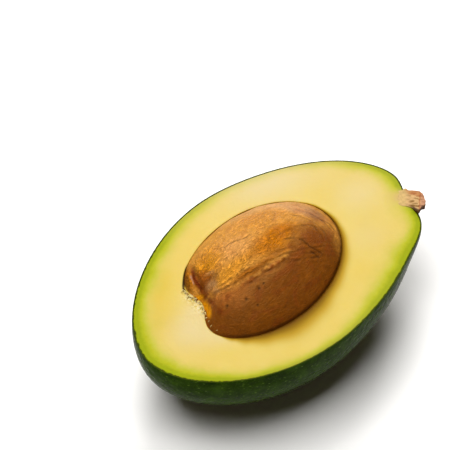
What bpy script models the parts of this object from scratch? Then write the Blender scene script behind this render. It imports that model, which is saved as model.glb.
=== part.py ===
# Half an avocado, cut lengthwise through its stem, with the stone left in it.
# Metres, +Z up. The cut face is level and looks up, and the belly rests at z = 0 on a small flat spot.
# The origin is on that level, under the middle of the half. +X points to the stem end.

import math

import bmesh
import bpy
from mathutils import Matrix, Vector

# Outline of the cut face
RIM_HALF_LENGTH = 0.05514
RIM_HALF_WIDTH = 0.03602
RIM_FULLNESS = 1.85          # 2 is an ellipse, and less is leaner between its ends and sides
RIM_EGG = 0.0108             # share of the radius that goes to the stem end, in three lobes
RIM_LEAN = -0.0095           # the same, turned a quarter of a lobe

# Dimple round the stem, and the shoulder beside it, both at a direction of the unit sphere
DIMPLE_TOWARDS = Vector((0.967, -0.248, 0.060)).normalized()
DIMPLE_DEPTH = 0.0018
DIMPLE_SPREAD = math.radians(10.3)
SHOULDER_TOWARDS = Vector((0.825, -0.562, 0.060)).normalized()
SHOULDER_SWELL = 0.0022
SHOULDER_SPREAD = math.radians(11.3)

# Depth of the half below its cut face
BODY_DEPTH_RADIUS = 0.0370   # the whole fruit's half thickness
AXIS_DEPTH = 0.0031          # the knife passed this far above the fruit's axis
AXIS_SLOPE = 0.018           # and closer to it towards the stem
FLAT_SPOT_DEPTH = 0.0004     # how much of the belly the flat spot takes off

# Skin and the gap between touching pieces
SKIN_THICKNESS = 0.0010
GAP = 0.0003

# Stone
STONE_HALF_LENGTH = 0.0340
STONE_HALF_WIDTH = 0.0241
STONE_HALF_HEIGHT = 0.0203
STONE_CENTRE = Vector((-0.0034, 0.0023, -0.0089))
STONE_TURN = math.radians(6.7)
STONE_NOTCH_TOWARDS = Vector((-0.80, 0.25, 0.53)).normalized()
STONE_NOTCH_DEPTH = 0.17     # share of the stone's radius
STONE_NOTCH_SPREAD = 0.33    # in radians

# Stub of the stem, from its root in the flesh to its tip: place on the cut face, radius and facing
STEM_STATIONS = (
    ((0.0460, -0.0058), 0.0010, math.radians(-12)),
    ((0.0490, -0.0066), 0.0024, math.radians(-15)),
    ((0.0513, -0.0078), 0.0037, math.radians(-22)),
    ((0.0527, -0.0090), 0.0039, math.radians(-27)),
    ((0.0535, -0.0110), 0.0031, math.radians(-33)),
    ((0.0545, -0.0135), 0.0027, math.radians(-38)),
)

# Mesh fineness
BODY_SEGMENTS = 64
BODY_RINGS = 26
STONE_SEGMENTS = 40
STONE_RINGS = 22
STEM_SEGMENTS = 16

# Finishes: colour, roughness
SKIN_FINISH = ((0.024, 0.052, 0.010, 1.0), 0.30)
FLESH_FINISH = ((0.82, 0.70, 0.24, 1.0), 0.45)
STONE_FINISH = ((0.42, 0.19, 0.045, 1.0), 0.55)
STEM_FINISH = ((0.56, 0.33, 0.15, 1.0), 0.80)


def nearness(direction, towards, spread):
    """1 at a direction of the unit sphere, fading to 0 away from it."""
    return math.exp(-(direction.angle(towards) / spread) ** 2)


def rim_radius(turn):
    """Distance from the middle of the cut face to its edge, without the dimple and the shoulder."""
    along = (abs(math.cos(turn)) / RIM_HALF_LENGTH) ** RIM_FULLNESS
    across = (abs(math.sin(turn)) / RIM_HALF_WIDTH) ** RIM_FULLNESS
    radius = (along + across) ** (-1 / RIM_FULLNESS)
    return radius * (1 + RIM_EGG * math.cos(3 * turn) + RIM_LEAN * math.sin(3 * turn))


def fruit_point(direction, inset):
    """Point of the whole fruit's surface, or one inset below it, for a direction of the unit sphere."""
    turn = math.atan2(RIM_HALF_WIDTH * direction.y, RIM_HALF_LENGTH * direction.x)
    radius = rim_radius(turn)
    axis_depth = AXIS_DEPTH - AXIS_SLOPE * radius * math.cos(turn)
    widest = radius / math.sqrt(1 - (axis_depth / BODY_DEPTH_RADIUS) ** 2) - inset
    reach = widest * math.hypot(direction.x, direction.y)
    reach += SHOULDER_SWELL * nearness(direction, SHOULDER_TOWARDS, SHOULDER_SPREAD)
    reach -= DIMPLE_DEPTH * nearness(direction, DIMPLE_TOWARDS, DIMPLE_SPREAD)
    x = reach * math.cos(turn)
    y = reach * math.sin(turn)
    z = (BODY_DEPTH_RADIUS - inset) * direction.z - AXIS_DEPTH + AXIS_SLOPE * x
    return Vector((x, y, z))


def stone_point(direction, grow):
    """Point of the stone's surface, or one grown past it, for a direction of the unit sphere."""
    notch = STONE_NOTCH_DEPTH * nearness(direction, STONE_NOTCH_TOWARDS, STONE_NOTCH_SPREAD)
    half_axes = Vector((STONE_HALF_LENGTH, STONE_HALF_WIDTH, STONE_HALF_HEIGHT))
    half_axes = half_axes * (1 - notch) + Vector((grow, grow, grow))
    point = Vector((direction.x * half_axes.x, direction.y * half_axes.y, direction.z * half_axes.z))
    return Matrix.Rotation(STONE_TURN, 3, 'Z') @ point + STONE_CENTRE


def shaped_sphere(segments, rings, place):
    """A UV sphere whose vertices are placed by a function of their direction.

    Its faces are split alike before it is shaped, so that nested surfaces keep their distance.
    """
    mesh = bmesh.new()
    bmesh.ops.create_uvsphere(mesh, u_segments=segments, v_segments=rings, radius=1)
    bmesh.ops.triangulate(mesh, faces=mesh.faces[:], quad_method='FIXED')
    for vertex in mesh.verts:
        vertex.co = place(vertex.co.normalized())
    return mesh


def slice_away(mesh, height, outwards):
    """Cut a closed mesh level at a height, drop the side that outwards points to, and cap the rest."""
    cut = bmesh.ops.bisect_plane(
        mesh,
        geom=mesh.verts[:] + mesh.edges[:] + mesh.faces[:],
        plane_co=(0, 0, height),
        plane_no=(0, 0, outwards),
        clear_outer=True,
    )
    loop = [item for item in cut["geom_cut"] if isinstance(item, bmesh.types.BMEdge)]
    bmesh.ops.contextual_create(mesh, geom=loop)


def stub_mesh(grow):
    """The stem's stub as rings along its bent run, closed at both ends."""
    mesh = bmesh.new()
    upwards = Vector((0, 0, 1))
    last = len(STEM_STATIONS) - 1
    previous = None
    for index, ((x, y), radius, facing) in enumerate(STEM_STATIONS):
        along = Vector((math.cos(facing), math.sin(facing), 0))
        side = along.cross(upwards)
        end_shift = along * grow * ((index == last) - (index == 0))
        ring = []
        for step in range(STEM_SEGMENTS):
            turn = 2 * math.pi * step / STEM_SEGMENTS
            spoke = side * math.cos(turn) + upwards * math.sin(turn)
            ring.append(mesh.verts.new(Vector((x, y, 0)) + end_shift + spoke * (radius + grow)))
        if previous is None:
            mesh.faces.new(ring)
        else:
            for step in range(STEM_SEGMENTS):
                after = (step + 1) % STEM_SEGMENTS
                mesh.faces.new((previous[step], previous[after], ring[after], ring[step]))
        previous = ring
    mesh.faces.new(reversed(previous))
    bmesh.ops.recalc_face_normals(mesh, faces=mesh.faces[:])
    return mesh


def add_object(name, mesh, holder):
    """An object from a bmesh, shaded smooth except at its cut edges, held by an empty."""
    data = bpy.data.meshes.new(name)
    mesh.to_mesh(data)
    mesh.free()
    data.shade_smooth()
    data.set_sharp_from_angle(angle=math.radians(45))
    item = bpy.data.objects.new(name, data)
    item.parent = holder
    bpy.context.scene.collection.objects.link(item)
    return item


def add_guide(name, mesh, holder):
    """A shape that only cuts others."""
    guide = add_object(name, mesh, holder)
    guide.display_type = 'WIRE'
    guide.hide_render = True
    return guide


def take_out(item, guide):
    """Take a guide's shape out of an object."""
    room = item.modifiers.new(guide.name, 'BOOLEAN')
    room.operation = 'DIFFERENCE'
    room.solver = 'EXACT'
    room.object = guide


def give_finish(item, name, finish):
    """Give an object a material of its own."""
    colour, roughness = finish
    material = bpy.data.materials.new(name)
    material.use_nodes = True
    shader = material.node_tree.nodes["Principled BSDF"]
    shader.inputs["Base Color"].default_value = colour
    shader.inputs["Roughness"].default_value = roughness
    item.data.materials.append(material)


def reach_of(meshes, axis):
    """Lowest and highest coordinate of several meshes along one axis."""
    values = [vertex.co[axis] for mesh in meshes for vertex in mesh.verts]
    return min(values), max(values)


def main():
    for item in list(bpy.data.objects):
        bpy.data.objects.remove(item, do_unlink=True)

    skin_mesh = shaped_sphere(BODY_SEGMENTS, BODY_RINGS, lambda way: fruit_point(way, 0))
    floor_height = reach_of([skin_mesh], 2)[0] + FLAT_SPOT_DEPTH
    slice_away(skin_mesh, 0, 1)
    slice_away(skin_mesh, floor_height, -1)

    flesh_mesh = shaped_sphere(
        BODY_SEGMENTS, BODY_RINGS, lambda way: fruit_point(way, SKIN_THICKNESS + GAP)
    )
    slice_away(flesh_mesh, 0, 1)

    stone_mesh = shaped_sphere(STONE_SEGMENTS, STONE_RINGS, lambda way: stone_point(way, 0))

    stem_mesh = stub_mesh(0)
    slice_away(stem_mesh, 0, 1)

    half = bpy.data.objects.new("half", None)
    middle_x = sum(reach_of([skin_mesh, stem_mesh], 0)) / 2
    middle_y = sum(reach_of([skin_mesh, stem_mesh], 1)) / 2
    half.location = (-middle_x, -middle_y, -floor_height)
    bpy.context.scene.collection.objects.link(half)

    under_skin = add_guide(
        "under_skin",
        shaped_sphere(BODY_SEGMENTS, BODY_RINGS, lambda way: fruit_point(way, SKIN_THICKNESS)),
        half,
    )
    stone_room = add_guide(
        "stone_room",
        shaped_sphere(STONE_SEGMENTS, STONE_RINGS, lambda way: stone_point(way, GAP)),
        half,
    )
    stem_room = add_guide("stem_room", stub_mesh(GAP), half)

    skin = add_object("skin", skin_mesh, half)
    take_out(skin, under_skin)
    take_out(skin, stem_room)
    give_finish(skin, "dark_green_skin", SKIN_FINISH)

    flesh = add_object("flesh", flesh_mesh, half)
    take_out(flesh, stone_room)
    take_out(flesh, stem_room)
    give_finish(flesh, "pale_yellow_flesh", FLESH_FINISH)

    stone = add_object("stone", stone_mesh, half)
    give_finish(stone, "brown_seed_coat", STONE_FINISH)

    stem = add_object("stem", stem_mesh, half)
    give_finish(stem, "dry_stem", STEM_FINISH)


main()
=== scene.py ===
import math
import random

import bpy
from mathutils import Matrix, Vector, noise


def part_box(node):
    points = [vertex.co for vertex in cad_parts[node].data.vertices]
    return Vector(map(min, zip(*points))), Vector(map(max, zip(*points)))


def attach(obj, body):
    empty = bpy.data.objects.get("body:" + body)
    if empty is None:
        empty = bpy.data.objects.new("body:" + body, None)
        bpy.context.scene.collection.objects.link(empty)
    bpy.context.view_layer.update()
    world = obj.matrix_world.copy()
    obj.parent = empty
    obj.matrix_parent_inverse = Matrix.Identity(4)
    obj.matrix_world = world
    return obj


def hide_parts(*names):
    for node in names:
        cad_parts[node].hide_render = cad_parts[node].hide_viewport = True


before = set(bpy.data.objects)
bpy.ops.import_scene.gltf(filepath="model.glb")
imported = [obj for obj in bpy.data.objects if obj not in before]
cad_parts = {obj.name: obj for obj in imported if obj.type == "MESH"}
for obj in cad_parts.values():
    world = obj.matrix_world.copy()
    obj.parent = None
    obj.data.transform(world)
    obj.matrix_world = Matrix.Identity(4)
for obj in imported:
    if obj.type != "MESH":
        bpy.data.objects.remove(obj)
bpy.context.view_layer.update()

bpy.ops.object.select_all(action='DESELECT')

# Vector noise starts at a random place unless it is seeded, and each run has to give the same shapes
noiseSeed = 7
noise.seed_set(noiseSeed)

# Shapes are worked out in millimetres on the cut face: x to the stem, y across, z up, 0 in its middle.
mm = 0.001

# The same outline and depth as the model's own
fruitShape = {
    "halfLength": 55.14,
    "halfWidth": 36.02,
    "fullness": 1.85,
    "egg": 0.0108,
    "lean": -0.0095,
    "dimpleTowards": Vector((0.967, -0.248, 0.060)).normalized(),
    "dimpleDepth": 1.8,
    "dimpleSpread": math.radians(10.3),
    "shoulderTowards": Vector((0.825, -0.562, 0.060)).normalized(),
    "shoulderSwell": 2.2,
    "shoulderSpread": math.radians(11.3),
    "depthRadius": 37.0,
    "axisDepth": 3.1,
    "axisSlope": 0.018,
}
stoneShape = {
    "halfAxes": Vector((34.0, 24.1, 20.3)),
    "centre": Vector((-3.4, 2.3, -8.9)),
    "turn": math.radians(6.7),
    "notchTowards": Vector((-0.80, 0.25, 0.53)).normalized(),
    "notchDepth": 0.17,
    "notchSpread": 0.33,
}


def smoothStep(low, high, value):
    part = min(max((value - low) / (high - low), 0), 1)
    return part * part * (3 - 2 * part)


def blendOf(first, second, part):
    return first + (second - first) * part


def nearness(direction, towards, spread):
    return math.exp(-(direction.angle(towards) / spread) ** 2)


def rimRadius(turn):
    along = (abs(math.cos(turn)) / fruitShape["halfLength"]) ** fruitShape["fullness"]
    across = (abs(math.sin(turn)) / fruitShape["halfWidth"]) ** fruitShape["fullness"]
    radius = (along + across) ** (-1 / fruitShape["fullness"])
    return radius * (1 + fruitShape["egg"] * math.cos(3 * turn) + fruitShape["lean"] * math.sin(3 * turn))


def fruitPoint(direction, inset):
    # a point of the fruit's surface, or of one inset below it, for a direction of the unit sphere
    turn = math.atan2(fruitShape["halfWidth"] * direction.y, fruitShape["halfLength"] * direction.x)
    radius = rimRadius(turn)
    axisDepth = fruitShape["axisDepth"] - fruitShape["axisSlope"] * radius * math.cos(turn)
    widest = radius / math.sqrt(1 - (axisDepth / fruitShape["depthRadius"]) ** 2) - inset
    reach = widest * math.hypot(direction.x, direction.y)
    reach += fruitShape["shoulderSwell"] * nearness(
        direction, fruitShape["shoulderTowards"], fruitShape["shoulderSpread"])
    reach -= fruitShape["dimpleDepth"] * nearness(
        direction, fruitShape["dimpleTowards"], fruitShape["dimpleSpread"])
    x = reach * math.cos(turn)
    z = (fruitShape["depthRadius"] - inset) * direction.z
    return Vector((x, reach * math.sin(turn), z - fruitShape["axisDepth"] + fruitShape["axisSlope"] * x))


def stonePoint(direction, grow):
    # the same for the stone
    notch = stoneShape["notchDepth"] * nearness(
        direction, stoneShape["notchTowards"], stoneShape["notchSpread"])
    reach = stoneShape["halfAxes"] * (1 - notch) + Vector((grow, grow, grow))
    point = Vector((direction.x * reach.x, direction.y * reach.y, direction.z * reach.z))
    return Matrix.Rotation(stoneShape["turn"], 3, 'Z') @ point + stoneShape["centre"]


def wayAt(azimuth, climb):
    # a direction of the unit sphere, climb counted from straight down
    return Vector((
        math.sin(climb) * math.cos(azimuth),
        math.sin(climb) * math.sin(azimuth),
        -math.cos(climb),
    ))


def climbToFace(azimuth, place):
    # how far a direction climbs from straight down until its point reaches the cut face
    low, high = 0.6, 2.6
    for attempt in range(30):
        middle = (low + high) / 2
        if place(wayAt(azimuth, middle)).z < 0:
            low = middle
        else:
            high = middle
    return high


# Where the face lies in the model's frame, from the skin's own box
skinLow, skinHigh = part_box("skin")
widestSpots = [fruitPoint(wayAt(math.radians(step), math.pi / 2), 0) for step in range(360)]
faceMiddle = Vector((
    skinLow[0] - min(spot.x for spot in widestSpots) * mm,
    skinHigh[1] - max(spot.y for spot in widestSpots) * mm,
    skinHigh[2],
))
floorLevel = -faceMiddle.z / mm
print("face middle", [round(value / mm, 2) for value in faceMiddle])


def outwardsFrom(way, halfAxes):
    # the direction square to an ellipsoid, for a direction of the unit sphere
    return Vector((way.x / halfAxes.x, way.y / halfAxes.y, way.z / halfAxes.z)).normalized()


def toWorld(point):
    return faceMiddle + Vector(point) * mm


def clothe(piece, nodeName):
    # the calls that every finished piece gets
    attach(piece, "root")
    if nodeName:
        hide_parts(nodeName)


def addAttribute(piece, attributeName, values):
    attribute = piece.data.attributes.new(attributeName, 'FLOAT', 'POINT')
    attribute.data.foreach_set("value", values)


def addColours(piece, attributeName, values):
    attribute = piece.data.color_attributes.new(attributeName, 'FLOAT_COLOR', 'POINT')
    attribute.data.foreach_set("color", values)


def placeVertices(piece, points):
    flat = []
    for point in points:
        flat.extend(toWorld(point))
    piece.data.vertices.foreach_set("co", flat)
    piece.data.update()


def addBall(name, segments, rings):
    bpy.ops.object.select_all(action='DESELECT')
    bpy.ops.mesh.primitive_uv_sphere_add(segments=segments, ring_count=rings, radius=1)
    piece = bpy.context.object
    piece.name = name
    piece.data.name = name
    bpy.ops.object.shade_smooth()
    return piece


def ballPlaces(piece, segments, rings):
    # for each vertex of a fresh ball, its column and its ring, counted from the bottom
    places = []
    for vertex in piece.data.vertices:
        azimuth = math.atan2(vertex.co.y, vertex.co.x)
        climb = math.acos(min(max(-vertex.co.z, -1), 1))
        places.append((round(azimuth / (2 * math.pi) * segments) % segments, round(climb / math.pi * rings)))
    return places


def patchesAt(x, y, patches, power=1):
    # how strongly soft oval patches cover a place; each is x, y, half length, half width, turn, strength
    total = 0
    for middleX, middleY, halfLength, halfWidth, turn, strength in patches:
        shiftX = x - middleX
        shiftY = y - middleY
        along = (shiftX * math.cos(turn) + shiftY * math.sin(turn)) / halfLength
        across = (shiftY * math.cos(turn) - shiftX * math.sin(turn)) / halfWidth
        distance = (along * along + across * across) ** power
        if distance < 6:
            total += strength * math.exp(-distance)
    return min(total, 1)


def nearestOnLine(x, y, points):
    # distance to a drawn line, on which side, and how far along it from 0 to 1
    best = (1e9, 1, 0)
    count = len(points) - 1
    for index in range(count):
        startX, startY = points[index]
        runX = points[index + 1][0] - startX
        runY = points[index + 1][1] - startY
        part = ((x - startX) * runX + (y - startY) * runY) / (runX * runX + runY * runY)
        part = min(max(part, 0), 1)
        offX = x - startX - part * runX
        offY = y - startY - part * runY
        distance = math.hypot(offX, offY)
        if distance < best[0]:
            side = 1 if runX * offY - runY * offX > 0 else -1
            best = (distance, side, (index + part) / count)
    return best


def flatNoise(point, size, level):
    # noise over the cut face, with features of about this size in mm
    return noise.noise(Vector((point.x / size, point.y / size, level)))


# Materials
def hexColour(code):
    # an sRGB colour as the linear one that a shader takes
    channels = [int(code[place:place + 2], 16) / 255 for place in (1, 3, 5)]
    linear = [c / 12.92 if c <= 0.04045 else ((c + 0.055) / 1.055) ** 2.4 for c in channels]
    return (*linear, 1.0)


def linearColours(codes):
    # a dictionary of sRGB codes as linear colours, without their alpha
    return {name: hexColour(code)[:3] for name, code in codes.items()}


def addNode(tree, kind, settings=None, links=None):
    # adds a node, sets what is named on it, and gives its inputs a value or a link
    node = tree.nodes.new(kind)
    for name, value in (settings or {}).items():
        if name == "stops":
            ramp = node.color_ramp
            while len(ramp.elements) < len(value):
                ramp.elements.new(1.0)
            for element, (position, colour) in zip(ramp.elements, value):
                element.position = position
                element.color = hexColour(colour)
        else:
            setattr(node, name, value)
    for name, value in (links or {}).items():
        if isinstance(value, bpy.types.NodeSocket):
            tree.links.new(value, node.inputs[name])
        else:
            node.inputs[name].default_value = value
    return node


def attributeOf(tree, name, output="Fac"):
    return addNode(tree, "ShaderNodeAttribute", {"attribute_name": name}).outputs[output]


def noiseOf(tree, where, scale, detail, roughness, distortion=0.0):
    return addNode(tree, "ShaderNodeTexNoise", None,
        {"Vector": where, "Scale": scale, "Detail": detail, "Roughness": roughness,
            "Distortion": distortion}).outputs["Fac"]


def mathOf(tree, operation, *values):
    return addNode(tree, "ShaderNodeMath", {"operation": operation}, dict(enumerate(values))).outputs[0]


def rangeOf(tree, value, source, target, kind='LINEAR', clamp=True):
    # a value moved from one range to another
    return addNode(tree, "ShaderNodeMapRange", {"interpolation_type": kind, "clamp": clamp},
        {"Value": value, "From Min": source[0], "From Max": source[1],
            "To Min": target[0], "To Max": target[1]}).outputs["Result"]


def rampOf(tree, value, colours, *stops):
    # a run of colours, each stop a position and a name in the dictionary of colours
    named = [(position, colours[name]) for position, name in stops]
    return addNode(tree, "ShaderNodeValToRGB", {"stops": named}, {"Fac": value}).outputs["Color"]


def mixOf(tree, part, first, second, blend='MIX'):
    # a mix of two colours, each a code or a socket
    first, second = [hexColour(colour) if isinstance(colour, str) else colour for colour in (first, second)]
    return addNode(tree, "ShaderNodeMix", {"data_type": 'RGBA', "blend_type": blend},
        {0: part, 6: first, 7: second}).outputs[2]


def shadeOf(tree, colour, tone):
    # a colour made lighter or darker by a factor
    grey = addNode(tree, "ShaderNodeCombineColor", None, {"Red": tone, "Green": tone, "Blue": tone})
    return mixOf(tree, 1.0, colour, grey.outputs["Color"], 'MULTIPLY')


def bumpOf(tree, height, strength, distance, under=None, invert=False):
    # a bump, on top of another one where that is given
    links = {"Strength": strength, "Distance": distance, "Height": height}
    if under:
        links["Normal"] = under
    return addNode(tree, "ShaderNodeBump", {"invert": invert}, links).outputs["Normal"]


def stretchOf(tree, where, scale, turn=0.0):
    return addNode(tree, "ShaderNodeMapping", None,
        {"Vector": where, "Rotation": (0, 0, turn), "Scale": scale}).outputs["Vector"]


def newMaterial(name):
    # an empty material and its nodes
    material = bpy.data.materials.new(name)
    material.use_nodes = True
    material.node_tree.nodes.clear()
    return material, material.node_tree


def coordinatesOf(tree):
    return addNode(tree, "ShaderNodeTexCoord").outputs["Object"]


def finishMaterial(piece, material, settings):
    tree = material.node_tree
    shader = addNode(tree, "ShaderNodeBsdfPrincipled", None, settings)
    addNode(tree, "ShaderNodeOutputMaterial", None, {"Surface": shader.outputs["BSDF"]})
    piece.data.materials.append(material)


# The flesh: its wall behind the peel, the cut face, and the hollow for the stone
fleshLook = {
    "segments": 440,
    "wallRings": 24,          # outside, behind the peel
    "faceRings": 118,
    "cavityRings": 34,
    "inset": 0.56,            # mm under the fruit's surface, just inside the peel
    "clearance": 0.14,        # mm round the stone
    "farGap": 60,             # mm, stands for an edge that isn't near
    "crowding": 0.145,        # how far the face's rings gather at its two edges
    "skinEdge": 0.30,         # mm, rounding at the peel
    "skinEdgeDrop": 0.16,
    "stoneEdge": 0.8,         # mm, rounding at the stone
    "stoneEdgeDrop": 0.55,
    "undulation": 0.16,       # mm
    "grain": 0.025,
    # soft ovals here and below: x, y, half length, half width, turn, strength
    "tornPatches": ((-30, 3.5, 4.5, 3.2, 0.2, 1.0),),
    "tornRelief": 0.28,
    "levelPatches": ((49.5, -8.2, 4.0, 3.6, -0.8, 1.0),),     # smooth under the stem's root
    # green flesh under the peel: direction on the face in degrees, width in mm, strength
    "greenBand": ((-180, 6.4, 1.0), (-160, 5.0, 1.0), (-140, 3.1, 0.92), (-120, 2.5, 0.78), (-95, 3.1, 0.80),
        (-60, 5.4, 0.95), (-35, 6.2, 1.0), (-15, 5.4, 1.0), (8, 4.8, 0.9), (25, 3.4, 0.5),
        (45, 2.7, 0.26), (70, 2.8, 0.34), (95, 4.0, 0.7), (130, 5.0, 1.0), (150, 6.0, 1.0),
        (180, 6.4, 1.0)),
    "goldPatches": ((-33, 20, 9, 5, 0.9, 0.8), (-42, 8, 6, 5, 0, 0.5), (34, -12, 6, 6, 0, 0.2)),
    "creamPatches": ((-36, 0, 8, 7, 0.3, 0.8), (-29, 5, 4, 4, 0, 0.5), (-30, -9, 7, 4, -0.5, 0.6),
        (40, 3, 9, 7, 0, 0.4), (22, 27, 20, 9, -0.35, 0.85), (44, 3, 9, 12, 0, 0.2),
        (31, -12, 8, 6, -0.6, 0.35)),
    "rootPatches": ((50.2, -8.3, 4.6, 3.2, -1.05, 1.0),),
    # painted shade on the flesh in the gap where the tongue of the stone's notch meets it
    "gapShadePatches": ((-22.9, 17.9, 2.6, 0.42, 0.65, 1.0), (-26.2, 14.9, 3.0, 0.5, 0.80, 1.0),
        (-27.9, 12.4, 1.0, 0.45, 1.2, 0.9), (-30.7, -5.4, 2.6, 0.35, 1.5, 0.8)),
    "fibrePatches": ((-28.0, 8.6, 2.6, 1.6, -0.9, 0.9), (-28.8, 4.2, 2.6, 1.2, -1.2, 0.8),
        (-31.6, -4.8, 1.2, 1.0, 0, 0.5)),
    # darker flesh beside the stone, partly a real golden stain and partly the stone's painted shadow and
    # contact shade: direction from the stone's middle in degrees, share of its full width
    "stoneStain": ((-180, 0.02), (-160, 0.06), (-150, 0.22), (-141, 0.45), (-127, 0.72), (-109, 1.0),
        (-85, 0.85), (-62, 0.58), (-38, 0.45), (-20, 0.34), (-5, 0.24), (10, 0.12), (25, 0.03),
        (120, 0.03), (160, 0.10), (180, 0.02)),
}
print("flesh")


def bandAt(azimuth, table):
    # values at a direction, from a table of directions in degrees
    degrees = math.degrees(azimuth)
    for start, end in zip(table, table[1:]):
        if start[0] <= degrees <= end[0]:
            part = smoothStep(start[0], end[0], degrees)
            return [blendOf(low, high, part) for low, high in zip(start[1:], end[1:])]
    return table[0][1:]


fleshSegments = fleshLook["segments"]
faceStart = fleshLook["wallRings"]
faceEnd = faceStart + fleshLook["faceRings"]
fleshRings = faceEnd + fleshLook["cavityRings"]
fleshBody = addBall("fleshBody", fleshSegments, fleshRings)

fleshColumns = []
for column in range(fleshSegments):
    azimuth = 2 * math.pi * column / fleshSegments
    outerClimb = climbToFace(azimuth, lambda way: fruitPoint(way, fleshLook["inset"]))
    innerClimb = climbToFace(azimuth, lambda way: stonePoint(way, fleshLook["clearance"]))
    outer = fruitPoint(wayAt(azimuth, outerClimb), fleshLook["inset"])
    inner = stonePoint(wayAt(azimuth, innerClimb), fleshLook["clearance"])
    fleshColumns.append((azimuth, outerClimb, outer, innerClimb, inner))


def edgeSquareness(column, edge):
    # how squarely a column of the face meets its edge at the peel or at the stone
    run = (fleshColumns[column][4] - fleshColumns[column][2]).normalized()
    ahead = fleshColumns[(column + 3) % fleshSegments][edge]
    behind = fleshColumns[column - 3][edge]
    return abs(run.cross((ahead - behind).normalized()).z)


squareness = [(edgeSquareness(column, 2), edgeSquareness(column, 4)) for column in range(fleshSegments)]


def facePoint(column, part):
    # a point of the cut face, part of the way from the peel to the stone, and its distance from each
    outer, inner = fleshColumns[column][2], fleshColumns[column][4]
    squareOuter, squareInner = squareness[column]
    crowded = part - fleshLook["crowding"] * math.sin(2 * math.pi * part)
    point = outer.lerp(inner, crowded)
    width = (inner - outer).length
    skinGap = crowded * width * squareOuter
    stoneGap = (1 - crowded) * width * squareInner
    swell = flatNoise(point, 11, 3.1) + 0.4 * flatNoise(point, 4.2, 8.7)
    height = fleshLook["undulation"] * swell * smoothStep(0, 5, skinGap)
    height += fleshLook["grain"] * flatNoise(point, 0.9, 1.7)
    if skinGap < fleshLook["skinEdge"]:
        height -= fleshLook["skinEdgeDrop"] * (1 - skinGap / fleshLook["skinEdge"]) ** 2
    if stoneGap < fleshLook["stoneEdge"]:
        over = 1 - stoneGap / fleshLook["stoneEdge"]
        height -= fleshLook["stoneEdgeDrop"] * (1 - math.sqrt(1 - over * over))
    # torn, fibrous flesh beside the notch of the stone
    torn = patchesAt(point.x, point.y, fleshLook["tornPatches"])
    if torn > 0.02:
        fray = noise.noise(Vector((point.x / 0.55, point.y / 1.6, 5.2)))
        fray += 0.7 * noise.noise(Vector((point.x / 0.3, point.y / 0.4, 2.2)))
        height += torn * fleshLook["tornRelief"] * fray
    point.z = height * (1 - 0.9 * patchesAt(point.x, point.y, fleshLook["levelPatches"], 2))
    return point, skinGap, stoneGap


fleshPoints = []
fleshOvals = (("tornPart", "fibrePatches"), ("goldTone", "goldPatches"), ("creamTone", "creamPatches"))
toneNames = ("stoneGap", "greenReach", "greenStrength", "stoneStain", "stemRoot", "tornPart", "darkContact",
    "goldTone", "creamTone")
fleshTones = {name: [] for name in toneNames}
for column, ring in ballPlaces(fleshBody, fleshSegments, fleshRings):
    azimuth, outerClimb, outer, innerClimb, inner = fleshColumns[column]
    if ring < faceStart:
        climb = outerClimb * (1 - (1 - ring / faceStart) ** 1.4)
        point = fruitPoint(wayAt(azimuth, climb), fleshLook["inset"])
        point.z = max(point.z, floorLevel + fleshLook["inset"] + 0.06)
        skinGap, stoneGap = 0, fleshLook["farGap"]
    elif ring > faceEnd:
        part = (ring - faceEnd) / (fleshRings - faceEnd)
        point = stonePoint(wayAt(azimuth, innerClimb * (1 - part) ** 1.15), fleshLook["clearance"])
        skinGap, stoneGap = fleshLook["farGap"], 0
    else:
        point, skinGap, stoneGap = facePoint(column, (ring - faceStart) / fleshLook["faceRings"])
    fleshPoints.append(point)
    width, strength = bandAt(math.atan2(point.y, point.x), fleshLook["greenBand"])
    ragged = 1 + 0.30 * flatNoise(point, 6, 6.5) + 0.10 * flatNoise(point, 1.5, 6.5)
    rootPart = patchesAt(point.x, point.y, fleshLook["rootPatches"], 1.5)
    # painted shade along the gap at the notch, and the hollow under the stone all in painted shade
    gapShade = patchesAt(point.x, point.y, fleshLook["gapShadePatches"], 2) if ring <= faceEnd else 1
    fromStone = math.atan2(point.y - stoneShape["centre"].y, point.x - stoneShape["centre"].x)
    fleshTones["stoneGap"].append(stoneGap)
    fleshTones["greenReach"].append(min(skinGap / (width * ragged), 4))
    fleshTones["greenStrength"].append(strength * (1 - rootPart))
    # the stone's painted shadow and contact shade, over a real stain
    fleshTones["stoneStain"].append(bandAt(fromStone, fleshLook["stoneStain"])[0])
    fleshTones["stemRoot"].append(0.85 * rootPart)
    fleshTones["darkContact"].append(gapShade)
    for name, patches in fleshOvals:
        fleshTones[name].append(patchesAt(point.x, point.y, fleshLook[patches]))
placeVertices(fleshBody, fleshPoints)
for name, values in fleshTones.items():
    addAttribute(fleshBody, name, values)
clothe(fleshBody, "flesh")

# Ripe avocado flesh, cut with a sharp knife: buttery and moist, light sinks in and a soft gloss lies on top
fleshColours = {
    "skinLine": "#3A400E",
    "skinSide": "#7C8A04",
    "green": "#8E980A",
    "greenFade": "#A7A81F",
    "lastGreen": "#B2AE3C",
    "lime": "#BEB052",
    "butter": "#CEB96A",
    "butterDeep": "#CAB155",
    "gold": "#C6AA36",
    "cream": "#CCBB8C",
    "root": "#BE9F66",
    "gapShade": "#2A1404",
    "tornPale": "#D2C9A4",
    "tornBrown": "#8A5A18",
    # the stone's painted shadow and contact shade on a real stain, darkest next to the stone
    "stainShadowDeep": "#4C2E00",
    "stainShadowDark": "#684404",
    "stainShadowBrown": "#88660C",
    "stainAndShadow": "#A98723",
    "stainShadowFade": "#B89B3D",
    "stainShadowLast": "#C2AA56",
    "gloss": "#FFF4C0",
}
material, tree = newMaterial("moistAvocadoFlesh")
where = coordinatesOf(tree)
clouds = noiseOf(tree, where, 110, 3.0, 0.55)
colour = mixOf(tree, clouds, fleshColours["butter"], fleshColours["butterDeep"])
for toneName, colourName in (("goldTone", "gold"), ("creamTone", "cream")):
    colour = mixOf(tree, attributeOf(tree, toneName), colour, fleshColours[colourName])
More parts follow.
